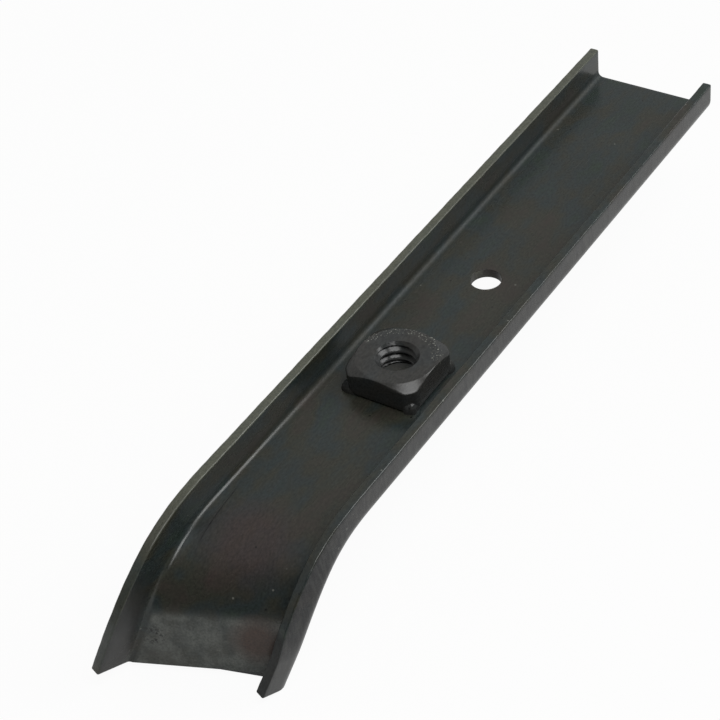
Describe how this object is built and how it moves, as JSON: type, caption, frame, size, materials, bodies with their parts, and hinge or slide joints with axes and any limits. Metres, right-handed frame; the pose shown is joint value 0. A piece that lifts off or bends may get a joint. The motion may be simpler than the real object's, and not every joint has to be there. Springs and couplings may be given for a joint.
{
  "type": "l-shaped retainer",
  "caption": "L-shaped steel retainer: a folded channel with a tall flange, a low lip, a plain screw hole and a square nut welded to its web.",
  "frame": {"origin": "on the underside of the web, on its middle line, midway between the nut and the plain hole", "axes": "+X along the long leg away from the fold, +Y to the tall flange, +Z out of the web to the side the nut is on"},
  "size_m": [0.1389, 0.0273, 0.023],
  "materials": {
    "black_sheet": "semi-gloss black oxide with faint green and brown mottling",
    "black_nut": "semi-gloss black oxide"
  },
  "bodies": {
    "root": {"folded_rail": "black_sheet", "weld_nut": "black_nut"}
  },
  "joints": []
}
